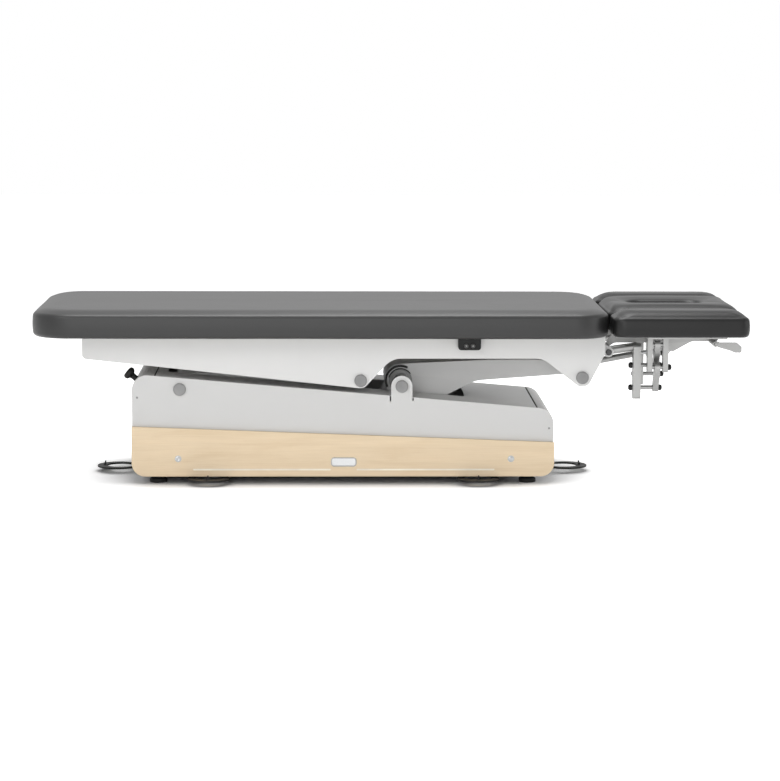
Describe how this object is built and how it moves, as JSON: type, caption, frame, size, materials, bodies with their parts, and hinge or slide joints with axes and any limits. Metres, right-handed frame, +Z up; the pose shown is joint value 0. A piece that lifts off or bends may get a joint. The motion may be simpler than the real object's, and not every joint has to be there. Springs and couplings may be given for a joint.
{
  "type": "electric massage table",
  "caption": "Low electric massage table: padded top on lift arms over a sloping base, head section with face slot and drop-down arm rests that tilts, ring foot pedals.",
  "frame": {"origin": "on the floor under the middle of the pads", "axes": "+X to the head end, +Y to the rear, +Z up; the front faces -Y"},
  "size_m": [2, 0.66, 0.5032],
  "materials": {
    "grey_paint": "satin light grey powder coat on sheet steel",
    "dark_paint": "dark satin paint on steel",
    "aluminium": "satin aluminium bar and plate",
    "steel": "plated steel",
    "black_plastic": "matte black moulded plastic",
    "grey_plastic": "matte grey moulded plastic",
    "rubber": "black rubber foot on a threaded stud",
    "maple": "light satin wood, grain along the length",
    "plywood": "plain plywood",
    "leatherette_main": "mid grey leatherette over foam, seamed edge",
    "leatherette_head": "dark grey leatherette over foam, seamed edge"
  },
  "bodies": {
    "base": {"base_side_plate_front": "grey_paint", "wood_panel_front": "maple", "panel_bolt_foot_front": "steel", "panel_bolt_head_front": "steel", "base_side_plate_rear": "grey_paint", "wood_panel_rear": "maple", "panel_bolt_foot_rear": "steel", "panel_bolt_head_rear": "steel", "badge_plate": "steel", "base_end_cap_foot": "grey_paint", "base_end_cap_head": "grey_paint", "base_top_cover": "grey_paint", "base_tray": "dark_paint", "levelling_foot_foot_front": "rubber", "levelling_foot_foot_rear": "rubber", "levelling_foot_head_front": "rubber", "levelling_foot_head_rear": "rubber", "mains_inlet": "black_plastic", "axle_foot_lower": "steel", "axle_head_lower": "steel", "actuator_housing": "dark_paint", "control_unit": "black_plastic"},
    "foot_arm": {"foot_arm": "grey_paint"},
    "head_arm": {"head_arm": "grey_paint"},
    "top": {"axle_foot_upper": "steel", "axle_head_upper": "steel", "frame_panel_front": "grey_paint", "frame_panel_rear": "grey_paint", "cross_tube_foot": "grey_paint", "cross_tube_mid": "grey_paint", "cross_tube_head": "grey_paint", "head_hinge_pin": "steel", "main_pad_board": "plywood", "main_pad": "leatherette_main", "switch_box": "black_plastic"},
    "actuator_rod": {"actuator_rod": "steel"},
    "lockout_knob": {"lockout_knob": "black_plastic"},
    "button_up": {"button_up": "grey_plastic"},
    "button_down": {"button_down": "grey_plastic"},
    "head_section": {"head_frame": "aluminium", "head_pad": "leatherette_head", "arm_carrier_front": "aluminium", "arm_carrier_rear": "aluminium"},
    "release_lever": {"release_lever": "aluminium"},
    "gas_cylinder": {"gas_cylinder": "aluminium"},
    "gas_rod": {"gas_rod": "steel"},
    "arm_link_lower_front": {"arm_link_lower_front": "aluminium"},
    "arm_link_upper_front": {"arm_link_upper_front": "aluminium"},
    "arm_rest_front": {"arm_hanger_front": "aluminium", "arm_pad_front": "leatherette_head"},
    "arm_link_lower_rear": {"arm_link_lower_rear": "aluminium"},
    "arm_link_upper_rear": {"arm_link_upper_rear": "aluminium"},
    "arm_rest_rear": {"arm_hanger_rear": "aluminium", "arm_pad_rear": "leatherette_head"},
    "foot_pedal_foot_end": {"foot_pedal_foot_end": "black_plastic"},
    "foot_pedal_head_end": {"foot_pedal_head_end": "black_plastic"},
    "foot_pedal_front_foot": {"foot_pedal_front_foot": "black_plastic"},
    "foot_pedal_front_head": {"foot_pedal_front_head": "black_plastic"},
    "foot_pedal_rear_foot": {"foot_pedal_rear_foot": "black_plastic"},
    "foot_pedal_rear_head": {"foot_pedal_rear_head": "black_plastic"}
  },
  "joints": [
    {"name": "lift", "type": "hinge", "parent": "base", "child": "foot_arm", "pos_m": [-0.5955, 0, 0.2695], "axis": [0, -1, 0], "range_deg": [0, 65]},
    {"name": "head_arm_turn", "type": "hinge", "parent": "base", "child": "head_arm", "pos_m": [0.0315, 0, 0.27799], "axis": [0, -1, 0], "range_deg": [0, 65]},
    {"name": "top_level", "type": "hinge", "parent": "foot_arm", "child": "top", "pos_m": [-0.08501, 0, 0.29447], "axis": [0, -1, 0], "range_deg": [-65, 0]},
    {"name": "actuator_stroke", "type": "slide", "parent": "base", "child": "actuator_rod", "axis": [1, 0, 0], "range_m": [0, 0.15292]},
    {"name": "head_tilt", "type": "hinge", "parent": "top", "child": "head_section", "pos_m": [0.619, 0, 0.372], "axis": [0, 1, 0], "range_deg": [0, 35]},
    {"name": "gas_spring_turn", "type": "hinge", "parent": "top", "child": "gas_cylinder", "pos_m": [0.585, -0.078, 0.33], "axis": [0, 1, 0], "range_deg": [0, 29.85]},
    {"name": "gas_spring_stroke", "type": "slide", "parent": "gas_cylinder", "child": "gas_rod", "axis": [0.9831, 0, 0.1829], "range_m": [-0.02679, 0]},
    {"name": "release_lever_lift", "type": "hinge", "parent": "head_section", "child": "release_lever", "pos_m": [0.92507, -0.103, 0.3939], "axis": [0, -1, 0], "range_deg": [0, 10], "stiffness_Nm_per_rad": 0.6, "springref_deg": -5.73},
    {"name": "lockout_pull", "type": "slide", "parent": "base", "child": "lockout_knob", "axis": [-0.766, 0, 0.6428], "range_m": [0, 0.006]},
    {"name": "button_up_press", "type": "slide", "parent": "top", "child": "button_up", "axis": [0, 1, 0], "range_m": [0, 0.002], "stiffness_N_per_m": 900},
    {"name": "button_down_press", "type": "slide", "parent": "top", "child": "button_down", "axis": [0, 1, 0], "range_m": [0, 0.002], "stiffness_N_per_m": 900},
    {"name": "arm_drop_front", "type": "hinge", "parent": "head_section", "child": "arm_link_lower_front", "pos_m": [0.758, -0.16, 0.266], "axis": [1, 0, 0], "range_deg": [0, 80]},
    {"name": "arm_link_follow_front", "type": "hinge", "parent": "head_section", "child": "arm_link_upper_front", "pos_m": [0.758, -0.16, 0.33], "axis": [1, 0, 0], "range_deg": [0, 80]},
    {"name": "arm_rest_level_front", "type": "hinge", "parent": "arm_link_lower_front", "child": "arm_rest_front", "pos_m": [0.758, -0.2, 0.329], "axis": [1, 0, 0], "range_deg": [-80, 0]},
    {"name": "arm_drop_rear", "type": "hinge", "parent": "head_section", "child": "arm_link_lower_rear", "pos_m": [0.803, 0.16, 0.266], "axis": [-1, 0, 0], "range_deg": [0, 80]},
    {"name": "arm_link_follow_rear", "type": "hinge", "parent": "head_section", "child": "arm_link_upper_rear", "pos_m": [0.803, 0.16, 0.33], "axis": [-1, 0, 0], "range_deg": [0, 80]},
    {"name": "arm_rest_level_rear", "type": "hinge", "parent": "arm_link_lower_rear", "child": "arm_rest_rear", "pos_m": [0.803, 0.2, 0.329], "axis": [-1, 0, 0], "range_deg": [-80, 0]},
    {"name": "pedal_press_foot_end", "type": "hinge", "parent": "base", "child": "foot_pedal_foot_end", "pos_m": [-0.6827, 0, 0.0155], "axis": [0, -1, 0], "range_deg": [-1.5, 3], "stiffness_Nm_per_rad": 30},
    {"name": "pedal_press_head_end", "type": "hinge", "parent": "base", "child": "foot_pedal_head_end", "pos_m": [0.4147, 0, 0.0155], "axis": [0, 1, 0], "range_deg": [-1.5, 3], "stiffness_Nm_per_rad": 30},
    {"name": "pedal_press_front_foot", "type": "hinge", "parent": "base", "child": "foot_pedal_front_foot", "pos_m": [-0.515, -0.1373, 0.0155], "axis": [1, 0, 0], "range_deg": [-1.5, 3], "stiffness_Nm_per_rad": 30},
    {"name": "pedal_press_front_head", "type": "hinge", "parent": "base", "child": "foot_pedal_front_head", "pos_m": [0.248, -0.1373, 0.0155], "axis": [1, 0, 0], "range_deg": [-1.5, 3], "stiffness_Nm_per_rad": 30},
    {"name": "pedal_press_rear_foot", "type": "hinge", "parent": "base", "child": "foot_pedal_rear_foot", "pos_m": [-0.515, 0.1373, 0.0155], "axis": [-1, 0, 0], "range_deg": [-1.5, 3], "stiffness_Nm_per_rad": 30},
    {"name": "pedal_press_rear_head", "type": "hinge", "parent": "base", "child": "foot_pedal_rear_head", "pos_m": [0.248, 0.1373, 0.0155], "axis": [-1, 0, 0], "range_deg": [-1.5, 3], "stiffness_Nm_per_rad": 30}
  ],
  "couplings": [
    {"joint": "head_arm_turn", "follows": "lift", "ratio": 1},
    {"joint": "top_level", "follows": "lift", "ratio": -1},
    {"joint": "actuator_stroke", "follows": "lift", "m_per_rad": 0.13478},
    {"joint": "gas_spring_turn", "follows": "head_tilt", "ratio": 0.85273},
    {"joint": "gas_spring_stroke", "follows": "head_tilt", "m_per_rad": -0.043831},
    {"joint": "arm_link_follow_front", "follows": "arm_drop_front", "ratio": 1},
    {"joint": "arm_rest_level_front", "follows": "arm_drop_front", "ratio": -1},
    {"joint": "arm_link_follow_rear", "follows": "arm_drop_rear", "ratio": 1},
    {"joint": "arm_rest_level_rear", "follows": "arm_drop_rear", "ratio": -1}
  ]
}
